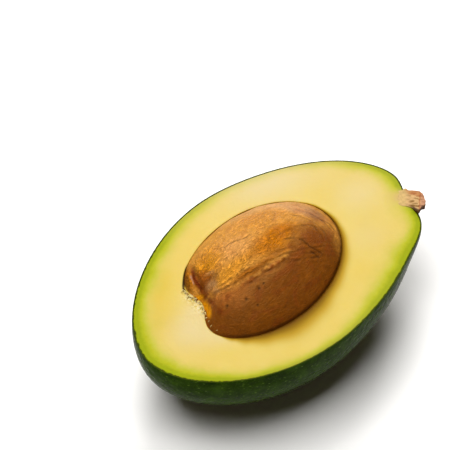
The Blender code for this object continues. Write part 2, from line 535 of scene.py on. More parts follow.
# darker beside the stone, partly a real stain and partly the stone's painted shadow and contact shade, over
# a width that changes round it
stainShadowGap = mathOf(tree, 'DIVIDE', attributeOf(tree, "stoneGap"), attributeOf(tree, "stoneStain"))
stainShadowColour = rampOf(tree, mathOf(tree, 'MULTIPLY', stainShadowGap, 0.11), fleshColours,
    (0.05, "stainShadowDeep"), (0.11, "stainShadowDark"), (0.27, "stainShadowBrown"),
    (0.45, "stainAndShadow"), (0.63, "stainShadowFade"), (0.9, "stainShadowLast"))
stainShadowPart = rangeOf(tree, stainShadowGap, (4.5, 11.0), (1.0, 0.0), 'SMOOTHSTEP')
colour = mixOf(tree, stainShadowPart, colour, stainShadowColour)
colour = mixOf(tree, attributeOf(tree, "stemRoot"), colour, fleshColours["root"])
# torn threads beside the stone's notch, cream with brown ends
threadColour = rampOf(tree, noiseOf(tree, where, 1400, 3.0, 0.7), fleshColours,
    (0.36, "tornBrown"), (0.46, "gold"), (0.56, "tornPale"))
colour = mixOf(tree, attributeOf(tree, "tornPart"), colour, threadColour)
# painted shade in the gap at the notch and in the hollow under the stone
colour = mixOf(tree, attributeOf(tree, "darkContact"), colour, fleshColours["gapShade"])
# green under the peel, whose edge is ragged at the scale of its pebbles
green = attributeOf(tree, "greenReach")
jitter = rangeOf(tree, noiseOf(tree, where, 700, 3.0, 0.65), (0.36, 0.66), (0.018, -0.045))
greenColour = rampOf(tree, mathOf(tree, 'ADD', green, jitter), fleshColours,
    (0.0, "skinLine"), (0.02, "skinSide"), (0.06, "green"), (0.22, "green"),
    (0.43, "greenFade"), (0.65, "lastGreen"), (1.0, "lime"))
greenPart = rangeOf(tree, green, (0.5, 1.6), (1.0, 0.0), 'SMOOTHSTEP')
greenPart = mathOf(tree, 'MULTIPLY', greenPart, attributeOf(tree, "greenStrength"))
colour = mixOf(tree, greenPart, colour, greenColour)
finishMaterial(fleshBody, material, {
    "Base Color": colour, "Roughness": 0.5, "IOR": 1.4, "Specular IOR Level": 0.1,
    "Specular Tint": hexColour(fleshColours["gloss"]), "Subsurface Weight": 0.3,
    "Subsurface Radius": (1.0, 0.6, 0.2), "Subsurface Scale": 0.0016,
    "Normal": bumpOf(tree, noiseOf(tree, where, 900, 2.0, 0.6), 0.25, 0.0002),
})

# The peel: one thin shell with its pebbles, its cut edge and its inner side
peelLook = {
    "segments": 560,
    "outerRings": 112,
    "edgeRings": 4,
    "innerRings": 20,
    "inset": 0.17,            # mm that its high spots stay under the fruit's surface
    "thickness": 0.34,
    "pebble": 0.085,          # mm
    "pebbleSize": 2.0,        # mm
    "reliefLimit": 0.10,      # mm
    "ragged": 0.06,           # mm, waves of the cut edge
    "halfAxes": Vector((55, 36, 37)),     # mm, an ellipsoid that gives the direction of the relief
}
print("peel")
peelSegments = peelLook["segments"]
edgeStart = peelLook["outerRings"]
edgeEnd = edgeStart + peelLook["edgeRings"]
peelRings = edgeEnd + peelLook["innerRings"]
peelInside = peelLook["inset"] + peelLook["thickness"]
skinPeel = addBall("skinPeel", peelSegments, peelRings)
peelColumns = []
for column in range(peelSegments):
    azimuth = 2 * math.pi * column / peelSegments
    peelColumns.append((
        azimuth,
        climbToFace(azimuth, lambda way: fruitPoint(way, peelLook["inset"])),
        climbToFace(azimuth, lambda way: fruitPoint(way, peelInside)),
    ))


def pebbleHeight(point):
    # low rounded pebbles with narrow valleys between them, in mm
    size = peelLook["pebbleSize"]
    warp = noise.noise_vector(point / 6) * 1.2
    bead = noise.noise((point + warp) / size)
    fine = noise.noise((point + warp) / (size * 0.45) + Vector((7, 7, 7)))
    wave = noise.noise(point / 9 + Vector((3, 0, 0)))
    return peelLook["pebble"] * (1 - abs(bead) * 2.4 + 0.35 * fine) + 0.10 * wave


peelPoints = []
cutEdges = []
for column, ring in ballPlaces(skinPeel, peelSegments, peelRings):
    azimuth, outerClimb, innerClimb = peelColumns[column]
    cutEdge = 1
    if ring <= edgeStart:
        climb = outerClimb * (1 - (1 - ring / edgeStart) ** 1.25)
        way = wayAt(azimuth, climb)
        point = fruitPoint(way, peelLook["inset"])
        fromFloor = point.z - floorLevel
        outwards = outwardsFrom(way, peelLook["halfAxes"])
        relief = min(pebbleHeight(point), peelLook["reliefLimit"])
        point += outwards * (relief * smoothStep(0, 1.2, -point.z) * smoothStep(0, 1.5, fromFloor))
        point.z = max(point.z, floorLevel)
        cutEdge = 0
    elif ring < edgeEnd:
        outer = fruitPoint(wayAt(azimuth, outerClimb), peelLook["inset"])
        inner = fruitPoint(wayAt(azimuth, innerClimb), peelInside)
        point = outer.lerp(inner, (ring - edgeStart) / peelLook["edgeRings"])
    else:
        part = (ring - edgeEnd) / peelLook["innerRings"]
        point = fruitPoint(wayAt(azimuth, innerClimb * (1 - part)), peelInside)
        point.z = max(point.z, floorLevel + peelLook["thickness"])
    nearCut = smoothStep(-0.5, 0, point.z)
    point.z += nearCut * (peelLook["ragged"] * flatNoise(point, 1.1, 0) - 0.03)
    peelPoints.append(point)
    cutEdges.append(cutEdge)
placeVertices(skinPeel, peelPoints)
addAttribute(skinPeel, "cutEdge", cutEdges)
clothe(skinPeel, "skin")

# Avocado peel, smooth dark green kind: natural wax gives a low gloss over fine pebbles and pale pores
peelColours = {
    "deep": "#182904",
    "leaf": "#233804",
    "light": "#324C08",
    "speck": "#456018",
    "pore": "#64802C",
    "sheen": "#B4A638",
    "cut": "#3C4612",
}
material, tree = newMaterial("waxyGreenPeel")
where = coordinatesOf(tree)
colour = rampOf(tree, noiseOf(tree, where, 170, 5.0, 0.65), peelColours,
    (0.30, "deep"), (0.50, "leaf"), (0.74, "light"))
flatter = stretchOf(tree, where, (1.0, 1.0, 1.9))
pores = addNode(tree, "ShaderNodeTexVoronoi", {"feature": 'F1'},
    {"Vector": flatter, "Scale": 560, "Randomness": 1.0})
poreSpots = rangeOf(tree, pores.outputs["Distance"], (0.10, 0.30), (0.55, 0.0), 'SMOOTHSTEP')
poreTone = addNode(tree, "ShaderNodeSeparateColor", None, {"Color": pores.outputs["Color"]}).outputs["Red"]
poreSome = rangeOf(tree, poreTone, (0.45, 0.75), (0.0, 1.0))
colour = mixOf(tree, mathOf(tree, 'MULTIPLY', poreSpots, poreSome), colour, peelColours["pore"])
# a close sprinkling of lighter specks, one to most pebbles
specks = addNode(tree, "ShaderNodeTexVoronoi", {"feature": 'F1'},
    {"Vector": flatter, "Scale": 980, "Randomness": 0.9}).outputs["Distance"]
speckPart = rangeOf(tree, specks, (0.08, 0.34), (0.5, 0.0), 'SMOOTHSTEP')
colour = mixOf(tree, speckPart, colour, peelColours["speck"])
colour = mixOf(tree, attributeOf(tree, "cutEdge"), colour, peelColours["cut"])
pebbles = addNode(tree, "ShaderNodeTexVoronoi", {"feature": 'SMOOTH_F1'},
    {"Vector": where, "Scale": 620, "Smoothness": 0.4, "Randomness": 1.0}).outputs["Distance"]
pebbleBump = bumpOf(tree, pebbles, 0.5, 0.00025, invert=True)
finishMaterial(skinPeel, material, {
    "Base Color": colour, "Roughness": 0.24, "IOR": 1.42, "Specular IOR Level": 0.014,
    "Specular Tint": hexColour(peelColours["sheen"]), "Sheen Weight": 0.045, "Sheen Roughness": 0.3,
    "Sheen Tint": hexColour(peelColours["sheen"]),
    "Normal": bumpOf(tree, noiseOf(tree, where, 1300, 3.0, 0.6), 0.35, 0.00015, pebbleBump),
})

# The stone: a whole seed, with its relief and colours on the side that shows
stoneLook = {
    "cuts": 100,              # between the corners of the cube that it is swelled from
    "crowding": 0.38,         # how far its vertices gather on the side that shows
    "sink": 0.32,             # mm that the top lies lower, to leave room for the relief
    "vein": 0.15,             # mm, this and the next five
    "wrinkle": 0.10,
    "fold": 0.07,
    "grit": 0.035,
    "wave": 0.26,
    "ringWrinkle": 0.16,
    "reliefLimit": 0.33,      # mm that it may stand over the smooth stone
}
# lines on the coat, in mm on the cut face as seen from above: points, half width, height, valley below it
coatRidges = (
    (((-26.0, 4.4), (-24.0, 3.4), (-21.6, 1.2), (-18.6, -0.3), (-15.8, -1.0), (-13.1, -1.3), (-9.8, -1.6),
      (-7.2, -2.0), (-4.3, -2.6), (-0.7, -3.4), (3.0, -4.2), (6.5, -5.6)), 0.34, 0.24, 0.16),
    (((-17.0, -5.2), (-14.2, -4.0), (-9.6, -4.5), (-6.4, -4.9), (-3.2, -5.2), (-0.4, -5.4), (2.6, -6.9),
      (6.0, -8.6)), 0.32, 0.20, 0.14),
    (((-22.8, 3.2), (-20.5, 2.2), (-18.0, 1.6), (-15.0, 1.2), (-11.5, 1.3)), 0.34, 0.12, 0.08),
    (((14.2, 8.9), (16.9, 5.9), (18.8, 2.2), (19.8, -1.5), (19.7, -5.5)), 0.36, 0.14, 0.10),
    (((18.0, 11.0), (19.5, 8.7), (22.0, 4.6), (23.3, 0.2), (23.0, -3.9), (21.0, -8.5)), 0.34, 0.14, 0.10),
    (((2.1, 3.4), (7.8, 3.4), (12.1, 2.8), (16.0, 1.5), (18.3, -0.1), (17.9, -3.5), (16.2, -7.6)),
     0.36, 0.10, 0.08),
)
coatCreases = (
    (((8.4, -1.6), (9.6, -3.6), (9.9, -6.2), (11.4, -8.4), (13.0, -11.5)), 0.24, 0.26),
    (((4.6, 0.4), (8.4, -1.6)), 0.26, 0.12),
    (((8.9, -7.3), (9.6, -9.0), (10.2, -10.7)), 0.26, 0.12),
    (((-11.8, 12.0), (-8.0, 11.5), (-4.3, 9.3), (-1.5, 9.5)), 0.26, 0.12),
    (((22.1, 1.8), (23.3, 0.2), (24.0, -2.0), (23.6, -4.3)), 0.26, 0.20),
    (((-20.6, 17.6), (-22.0, 14.9), (-23.4, 11.6), (-24.4, 8.9), (-24.6, 5.8)), 0.9, 0.55),
    (((-23.6, 16.6), (-25.0, 14.2), (-26.4, 12.0)), 0.28, 0.22),
)
coatPits = ((-13.7, -7.7, 0.45, 0.26), (-19.0, -7.4, 0.45, 0.18), (-11.5, -7.5, 0.32, 0.14),
    (-24.5, -4.4, 0.45, 0.14), (-17.3, -11.0, 0.35, 0.10))
# the fine veins are strongest in these ovals: x, y, half length, half width, turn, strength
veinedPatches = ((-17, 12, 9, 7, 0.3, 1.0), (-1, 3.0, 10, 5, -0.1, 1.0), (-14, 2.5, 9, 4, 0.2, 0.8),
    (6, 12, 12, 6, -0.3, 0.5))
foldedPatches = ((-6, -3.5, 19, 4.0, -0.25, 1.0), (9, -7, 9, 4, -0.5, 0.8))
# where the tan side of the coat meets the brown one, left to right
coatBorder = ((-34.0, 9.0), (-26.5, 5.6), (-24.7, 2.6), (-22.7, 0.6), (-19.8, -1.2), (-16.7, -2.4),
    (-13.5, -3.4), (-8.6, -3.8), (-4.0, -4.6), (1.4, -4.4), (5.6, -1.8), (9.6, 1.1), (14.2, 2.1),
    (18.4, 1.8), (20.5, -0.7), (22.4, -3.1), (23.6, -6.0), (24.0, -14.0))
coatColours = {
    "tan": "#D4923C",
    "brown": "#79410C",
    "ruddyTan": "#B0682C",    # cloudy patches on either side
    "ruddyBrown": "#7E3C10",
    "gloss": "#FFD890",
}
# strokes of colour on each side of that border: colour, and its ovals
coatStrokes = (
    ("tan", "#E09E54", ((-10, 9, 8, 5, -0.2, 0.9),)),
    ("tan", "#CC8836", ((6, 13, 9, 4, -0.5, 0.8),)),
    ("tan", "#DAA266", ((10, 20, 16, 4, -0.35, 0.9), (19, 11, 7, 4, -0.9, 0.9))),
    ("tan", "#C48C5A", ((20.5, 8, 6, 3.5, -1.1, 0.9),)),
    ("tan", "#D68A12", ((-19, 12, 7, 5, 0.5, 0.9), (-16, 3, 8, 3, 0.0, 0.6))),
    ("tan", "#BC6E0A", ((0, 1.6, 9, 4.2, -0.1, 0.95), (7, 4.0, 6, 3, -0.3, 0.8))),
    ("tan", "#985812", ((-9.5, -2.3, 5.5, 1.3, -0.08, 0.9), (0.5, -2.5, 6.5, 1.6, -0.05, 0.85),
        (-14.8, -1.4, 4.5, 1.6, -0.25, 0.85))),
    ("tan", "#9A6644", ((22.5, 3.5, 4, 3, -1.2, 0.8),)),
    ("tan", "#A8620E", ((-24.5, 15.2, 4.5, 2.2, 1.05, 0.95),)),
    ("tan", "#7A360A", ((-23.6, 10.6, 4.6, 1.5, 1.25, 0.95), (-23.0, 6.6, 3.4, 2.4, 0.2, 0.9))),
    ("tan", "#A5702F", ((-20.8, 6.4, 1.6, 1.0, -0.3, 0.7), (-24.6, 13.6, 1.0, 0.35, 1.0, 0.9))),
    ("brown", "#6E2C08", ((-25.2, 2.6, 1.4, 0.9, -1.0, 0.7), (-22.9, -1.6, 1.2, 0.8, 0.3, 0.6))),
    ("brown", "#7E400E", ((12.8, -2.4, 4.5, 3.6, -0.9, 0.9),)),
    ("brown", "#AE6628", ((-23.5, 0.5, 5, 3.4, -0.5, 0.95), (-20, -5, 5, 3, -0.2, 0.5))),
    ("brown", "#A8682C", ((-22.0, 3.2, 2.4, 1.3, -0.5, 0.8),)),
    ("brown", "#985E24", ((-9, -6.5, 8, 1.4, -0.1, 0.7),)),
    ("brown", "#84490C", ((-18, -14, 9, 4, -0.1, 0.6), (6, -15, 8, 4, 0.1, 0.5))),
    ("brown", "#A46A26", ((21.8, -8.5, 8, 2.4, -2.15, 0.95),)),
    ("brown", "#C08844", ((23.4, -7.0, 6, 0.8, -1.95, 0.9),)),
    ("both", "#CE7E14", ((-24.9, 13.9, 4.4, 1.1, 0.95, 1.0),)),
    ("both", "#D09A80", ((-23.9, 13.8, 1.3, 0.28, 1.15, 0.9), (-24.8, 11.9, 0.9, 0.25, 1.1, 0.8))),
    ("both", "#A0540E", ((-22.8, 9.8, 3.0, 2.4, 0.9, 0.9),)),
    ("both", "#762C0A", ((-22.4, 15.0, 2.6, 0.5, 1.1, 0.9), (-24.2, 10.8, 3.0, 0.6, 1.25, 1.0))),
    ("both", "#BC8852", ((-22.9, 5.2, 2.3, 1.3, -1.2, 0.9), (-23.4, 2.2, 1.4, 0.7, -1.2, 0.7),
        (-20.6, 8.6, 1.6, 0.7, -0.6, 0.5))),
    ("both", "#641E04", ((-25.6, 5.6, 1.6, 0.55, -0.9, 0.8), (-26.1, 1.9, 1.8, 0.5, -1.9, 0.8),
        (-26.6, -3.4, 1.3, 0.8, -1.2, 0.6), (-22.4, -2.6, 1.3, 0.8, 0.2, 0.5))),
    ("both", "#DE9006", ((-26.6, 7.3, 1.7, 0.75, -0.9, 1.0), (-27.1, 3.6, 2.0, 0.8, -1.9, 1.0),
        (-28.3, 1.0, 2.6, 0.75, -1.95, 1.0))),
)
print("stone")
bpy.ops.object.select_all(action='DESELECT')
bpy.ops.mesh.primitive_cube_add(size=2)
stoneSeed = bpy.context.object
stoneSeed.name = "stoneSeed"
stoneSeed.data.name = "stoneSeed"
bpy.ops.object.mode_set(mode='EDIT')
bpy.ops.mesh.select_all(action='SELECT')
bpy.ops.mesh.subdivide(number_cuts=stoneLook["cuts"])
bpy.ops.object.mode_set(mode='OBJECT')
bpy.ops.object.shade_smooth()


def ridgeField(point, size):
    # a network of thin raised veins, 1 on a vein and 0 between
    return max(1 - abs(noise.noise(point / size)) * 5.0, 0)


def paintOver(colour, stroke, part):
    return [blendOf(low, high, part) for low, high in zip(colour, stroke)]


def lineBox(points, margin):
    # the oblong round a drawn line, outside which it has no effect
    xs = [spot[0] for spot in points]
    ys = [spot[1] for spot in points]
    return min(xs) - margin, max(xs) + margin, min(ys) - margin, max(ys) + margin


def inBox(x, y, box):
    return box[0] < x < box[1] and box[2] < y < box[3]


coatRidges = [(lineBox(ridge[0], 2), *ridge) for ridge in coatRidges]
coatCreases = [(lineBox(crease[0], 1.5), *crease) for crease in coatCreases]


def drawnRelief(point):
    # height, and the painted shade in grooves and painted highlight on crests, that the drawn ridges,
    # creases and pits give
    x, y = point.x, point.y
    relief = 0
    crevice = 0
    for box, points, halfWidth, height, valley in coatRidges:
        if inBox(x, y, box):
            wobble = 0.35 * noise.noise(point / 1.6)
            distance, side, along = nearestOnLine(x + wobble, y - wobble, points)
            taper = smoothStep(0, 0.15, along) * smoothStep(1, 0.85, along)
            strength = taper * (0.75 + 0.6 * noise.noise(point / 2.2 + Vector((1, 5, 1))))
            crest = math.exp(-(distance / halfWidth) ** 2)
            below = side * distance + halfWidth * 2.0     # runs go to the right, so their left is up
            groove = math.exp(-(below / (halfWidth * 0.9)) ** 2)
            relief += strength * (height * crest - valley * groove)
            # painted shade in the groove below each ridge and a painted highlight on its crest
            crevice += strength * (0.55 * groove - 0.35 * crest)
    for box, points, halfWidth, depth in coatCreases:
        if inBox(x, y, box):
            wobble = 0.2 * noise.noise(point / 1.2)
            distance, side, along = nearestOnLine(x + wobble, y - wobble, points)
            taper = smoothStep(0, 0.12, along) * smoothStep(1, 0.8, along)
            groove = taper * math.exp(-(distance / halfWidth) ** 2)
            relief -= depth * groove
            # painted shade in the crease
            crevice += groove * min(1.0, 0.22 / halfWidth)
    for pitX, pitY, radius, depth in coatPits:
        distance = math.hypot(x - pitX, y - pitY)
        if distance < 2.5 * radius:
            dent = math.exp(-(distance / radius) ** 2)
            relief -= depth * dent
            # painted shade in the pit
            crevice += 1.3 * dent
    return relief, crevice


def coatColour(point, warp, streaked, veined):
    # tan above the border, brown below it, each with its strokes
    x, y = point.x, point.y
    distance, side = nearestOnLine(x, y, coatBorder)[:2]
    shift = 0.9 * noise.noise(point / 1.8) + 0.6 * noise.noise(point / 0.7)
    softness = blendOf(2.2, 1.0, smoothStep(-22, -15, x)) + 4.5 * smoothStep(2, 10, x)
    brownPart = smoothStep(-softness, softness, shift - side * distance)
    tanSide = coatPaint["tan"]
    brownSide = coatPaint["brown"]
    for zone, stroke, ovals in strokeColours:
        part = patchesAt(x + 0.5 * warp.x, y + 0.5 * warp.y, ovals, 1.6)
        if part > 0.01:
            if zone != "brown":
                tanSide = paintOver(tanSide, stroke, part)
            if zone != "tan":
                brownSide = paintOver(brownSide, stroke, part)
    ruddy = smoothStep(0.05, 0.45, noise.noise(streaked / 2.6 + Vector((6, 1, 3))))
    brownSide = paintOver(brownSide, coatPaint["ruddyBrown"], 0.55 * ruddy)
    tanSide = paintOver(tanSide, coatPaint["ruddyTan"], 0.35 * ruddy * (1 - 0.5 * veined))
    return paintOver(tanSide, brownSide, brownPart)


stonePoints = []
coatTones = {"crevice": [], "veined": []}
coatTints = []
coatPaint = linearColours(coatColours)
strokeColours = [(side, hexColour(code)[:3], ovals) for side, code, ovals in coatStrokes]
stoneTurn = Matrix.Rotation(stoneShape["turn"], 3, 'Z')
foldWay = Vector((0.27, 0.96, 0.0))
stemEndWay = Vector((0.97, -0.05, 0.10))
for vertex in stoneSeed.data.vertices:
    spread = Vector([math.tan(value * math.pi / 4) for value in vertex.co]).normalized()
    way = (spread + Vector((0, 0, stoneLook["crowding"]))).normalized()
    point = stonePoint(way, 0)
    outwards = stoneTurn @ outwardsFrom(way, stoneShape["halfAxes"])
    topSink = stoneLook["sink"] * smoothStep(0.2, 0.9, way.z)
    relief = -topSink
    crevice = 0
    veined = 0
    colour = coatPaint["brown"]
    x, y = point.x, point.y
    if point.z > -1.5:
        veined = patchesAt(x, y, veinedPatches)
        local = stoneTurn.transposed() @ point
        warp = noise.noise_vector(point / 5) * 1.6
        streaked = Vector((local.x * 0.6, local.y, local.z)) + warp
        vein = ridgeField(streaked, 1.9) * 0.55 + ridgeField(streaked + Vector((9, 4, 2)), 1.0) * 0.45
        relief += stoneLook["vein"] * (0.15 + 0.85 * veined) * (vein - 0.3)
        grit = noise.noise(streaked / 0.55)
        # painted shade between the veins, with some random grit
        crevice += veined * (0.30 * (0.5 - vein) + 0.22 * grit)
        relief += stoneLook["grit"] * (0.4 + 0.6 * veined) * grit
        relief += stoneLook["wrinkle"] * noise.noise(streaked / 3.4 + Vector((0, 0, 5)))
        relief += stoneLook["wave"] * noise.noise(point / 11 + Vector((4, 4, 4)))
        # folds that run along the middle of the coat
        foldPart = patchesAt(x, y, foldedPatches)
        fold = math.sin(point.dot(foldWay) * 3.9 + 2.4 * noise.noise(point / 4.5))
        fold *= 0.5 + noise.noise(point / 3.0 + Vector((2, 2, 2)))
        relief += stoneLook["fold"] * foldPart * fold
        # painted shade in the folds and a painted highlight on their crests
        crevice += foldPart * (0.5 * max(-fold, 0) - 0.3 * max(fold, 0))
        # wrinkles that run round the end by the stem
        endWay = way.angle(stemEndWay)
        endPart = smoothStep(0.95, 0.45, endWay)
        if endPart > 0:
            rings = noise.noise(Vector((endWay * 26 + 0.8 * warp.x, warp.y, 1.0)))
            relief += stoneLook["ringWrinkle"] * endPart * rings
            # painted shade in the wrinkles
            crevice += 0.45 * endPart * max(-rings, 0)
        drawnHeight, drawnShade = drawnRelief(point)
        relief += drawnHeight
        crevice += drawnShade
        colour = coatColour(point, warp, streaked, veined)
    relief = min(relief, stoneLook["reliefLimit"] - topSink)
    # below the face it stays clear of the flesh
    relief = blendOf(min(relief, 0), relief, smoothStep(-0.6, 0.4, point.z))
    # painted shade where it goes into the flesh
    underside = max(smoothStep(4, -8, y - 0.25 * x), smoothStep(-19, -24, x) * smoothStep(8, 12, y))
    crevice += 0.8 * smoothStep(0.9, 0.1, point.z) * underside
    stonePoints.append(point + outwards * relief)
    coatTones["crevice"].append(min(max(crevice, -0.5), 1))
    coatTones["veined"].append(veined)
    coatTints.extend((*colour, 1.0))
placeVertices(stoneSeed, stonePoints)
for name, values in coatTones.items():
    addAttribute(stoneSeed, name, values)
addColours(stoneSeed, "coatPaint", coatTints)
clothe(stoneSeed, "stone")

# Avocado seed in its papery coat: dry and wrinkled, satin where it is stretched, with painted shade in its
# folds and a painted highlight on its crests and veins
material, tree = newMaterial("driedSeedCoat")
where = coordinatesOf(tree)
coatStretch = stretchOf(tree, where, (0.45, 1.0, 1.0), -stoneShape["turn"])
coatFibres = noiseOf(tree, coatStretch, 1600, 3.0, 0.6)
# leather-like veins, a millimetre or two apart, most on the tan side
veinLines = []
for size, reach in ((760, 0.08), (1450, 0.10)):
    veinNoise = noiseOf(tree, coatStretch, size, 1.5, 0.5, 0.7)
    veinAway = mathOf(tree, 'ABSOLUTE', mathOf(tree, 'SUBTRACT', veinNoise, 0.5))
    veinLines.append(rangeOf(tree, veinAway, (0.0, reach), (1.0, 0.0), 'SMOOTHSTEP'))
veins = mathOf(tree, 'MULTIPLY_ADD', veinLines[1], 0.55, veinLines[0])
veinAmount = rangeOf(tree, attributeOf(tree, "veined"), (0.0, 1.0), (0.2, 1.0))
veinHeight = mathOf(tree, 'MULTIPLY', veins, veinAmount)
# small differences of tone, then painted shade in folds and pits and a painted highlight on crests
tone = rangeOf(tree, noiseOf(tree, where, 420, 4.0, 0.65), (0.3, 0.7), (0.84, 1.16))
for factor in (
    rangeOf(tree, coatFibres, (0.3, 0.7), (0.90, 1.10)),
    rangeOf(tree, attributeOf(tree, "crevice"), (-0.5, 1.0), (1.30, 0.30)),
    # painted highlight on the raised veins and painted shade between them
    rangeOf(tree, veinHeight, (0.0, 1.0), (0.85, 1.30), clamp=False),
):
    tone = mathOf(tree, 'MULTIPLY', tone, factor)
veinBump = bumpOf(tree, veinHeight, 1.0, 0.00032)
finishMaterial(stoneSeed, material, {
    "Base Color": shadeOf(tree, attributeOf(tree, "coatPaint", "Color"), tone), "Roughness": 0.42,
    "IOR": 1.45, "Specular IOR Level": 0.22, "Specular Tint": hexColour(coatColours["gloss"]),
    "Normal": bumpOf(tree, coatFibres, 0.5, 0.0002, veinBump),
})

# The stub of the stalk, split by the knife
stemLook = {
    "segments": 84,
    "rings": 110,
    "fibre": 0.24,            # mm
    "raise": 0.6,             # how far its split side stands over the face
    "tipLift": 1.0,
    "depth": 3.0,
    "lean": Vector((-0.49, -0.53, 0)),    # the way it leans as it rises
    "grainAlong": Vector((0.743, -0.669, 0)),
    "grainAcross": Vector((0.669, 0.743, 0)),
    "tipWay": Vector((0.68, -0.73, 0)),   # the way its torn end points
}
# its two edges on the cut face from root to tip, as x, y of one side and of the other
stemStations = (
    (49.4, -4.9, 47.4, -6.7), (51.2, -5.2, 47.5, -8.8), (52.6, -5.8, 47.9, -10.6),
    (54.0, -6.1, 48.6, -11.4), (54.2, -7.3, 49.2, -12.2), (55.1, -8.3, 49.7, -13.5),
    (55.9, -9.4, 49.6, -15.0), (56.5, -10.4, 49.9, -16.3), (56.4, -12.0, 51.8, -15.6),
    (55.3, -13.8, 53.4, -15.9),
)
print("stem")
stemStub = addBall("stemStub", stemLook["segments"], stemLook["rings"])
# Dry avocado stalk, split by the knife: matt woody fibres, pale where they are fresh
stemColours = {
    "rootEnd": "#C4A868",
    "root": "#BE9F66",
    "bark": "#B07C4C",
    "barkRed": "#98562E",
    "fibre": "#C29C6A",
    # painted shade in the slots between the fibres
    "slotShade": "#7E5A26",
    "tip": "#B07E62",
    # painted shade on the low side of the flare
    "lowFlareShade": "#38200C",
}
stemPaint = linearColours(stemColours)


def stationAt(part):
    # the run between its stations, smoothed
    place = part * (len(stemStations) - 1)
    index = min(int(place), len(stemStations) - 2)
    local = place - index
    before = stemStations[max(index - 1, 0)]
    start = stemStations[index]
    end = stemStations[index + 1]
    after = stemStations[min(index + 2, len(stemStations) - 1)]
    values = []
    for a, b, c, d in zip(before, start, end, after):
        values.append(0.5 * (2 * b + (c - a) * local + (2 * a - 5 * b + 4 * c - d) * local ** 2
                + (3 * b - a - 3 * c + d) * local ** 3))
    return values


stemPoints = []
stemTones = []
for column, ring in ballPlaces(stemStub, stemLook["segments"], stemLook["rings"]):
    turn = 2 * math.pi * column / stemLook["segments"]
    part = ring / stemLook["rings"]
    topX, topY, lowX, lowY = stationAt(part)
    middle = Vector(((topX + lowX) / 2, (topY + lowY) / 2, 0))
    half = Vector(((topX - lowX) / 2, (topY - lowY) / 2, 0))
    closing = math.sqrt(smoothStep(1.0, 0.975, part) * smoothStep(0, 0.03, part))
    across = math.cos(turn)
    rounding = math.sin(turn)
    spot = across * half.length
    # fibres run along the stub, so their noise hardly changes that way
    grainSpot = middle + half * across
    grainAlong = grainSpot.dot(stemLook["grainAlong"])
    grainAcross = grainSpot.dot(stemLook["grainAcross"])
    fibre = noise.noise(Vector((grainAcross / 0.55, grainAlong / 2.6, 0.5 + 1.4 * rounding)))
    fibre += 0.6 * noise.noise(Vector((grainAcross / 1.1, grainAlong / 2.2, 9.5)))
    ragged = noise.noise(Vector((spot / 0.6, 4.0, 1.5 * rounding)))
    point = middle + half * across * closing
    point += (stemLook["tipWay"] * ragged * 0.4) * smoothStep(0.86, 1.0, part)
    tipLift = stemLook["tipLift"] * smoothStep(0.4, 0.85, part)
    point += stemLook["lean"] * tipLift
    point.z += tipLift
    if rounding > 0:
        rise = stemLook["raise"] * smoothStep(0.18, 0.6, part) * (0.5 + 0.5 * rounding)
        rise += stemLook["fibre"] * fibre * smoothStep(0.25, 0.5, part) + 0.07
        rise *= smoothStep(0, 0.3, rounding)
        rise -= 0.40 * smoothStep(0.17, 0.03, part + 0.05 * fibre)
        point += stemLook["lean"] * rise
        point.z += rise
    else:
        point.z += rounding * stemLook["depth"] * closing * smoothStep(-0.1, 0.35, part)
        point += half.normalized() * across * fibre * 0.12
    stemPoints.append(point)
    # painted shade in the slots between the raised fibres
    slotShadeMask = smoothStep(0.05, 0.35, -fibre) * smoothStep(0.35, 0.55, part)
    bark = max(smoothStep(0.35, 0.6, across + 0.12 * ragged), 1 - smoothStep(-0.15, 0.05, rounding))
    darkRing = math.exp(-((part + 0.03 * ragged - 0.78) / 0.02) ** 2)
    # painted shade on the low side of the flare, away from the light
    lowFlareShade = smoothStep(0.45, 0.62, part) * smoothStep(-0.55, -0.85, across + 0.1 * ragged)
    # one colour over the other
    colour = stemPaint["fibre"]
    for name, amount in (
        ("slotShade", 0.85 * slotShadeMask),
        ("bark", bark),
        ("barkRed", bark * smoothStep(0.05, 0.4, fibre) * 0.6),
        ("tip", 0.8 * smoothStep(0.76, 0.86, part + 0.05 * ragged)),
        ("barkRed", 0.9 * darkRing),
        ("lowFlareShade", 0.9 * lowFlareShade),
        ("root", smoothStep(0.50, 0.28, part + 0.06 * fibre)),
        ("rootEnd", smoothStep(0.22, 0.04, part + 0.05 * fibre)),
    ):
        colour = paintOver(colour, stemPaint[name], amount)
    stemTones.extend((*colour, 1.0))
placeVertices(stemStub, stemPoints)
addColours(stemStub, "stalkPaint", stemTones)
clothe(stemStub, "stem")

material, tree = newMaterial("splitWoodyStalk")
where = coordinatesOf(tree)
stalkGrain = noiseOf(tree, where, 900, 4.0, 0.65)
stalkColour = shadeOf(tree, attributeOf(tree, "stalkPaint", "Color"),
    rangeOf(tree, stalkGrain, (0.3, 0.7), (0.8, 1.15)))
finishMaterial(stemStub, material, {
    "Base Color": stalkColour, "Roughness": 0.8, "Specular IOR Level": 0.2,
    "Normal": bumpOf(tree, stalkGrain, 0.6, 0.0002),
})

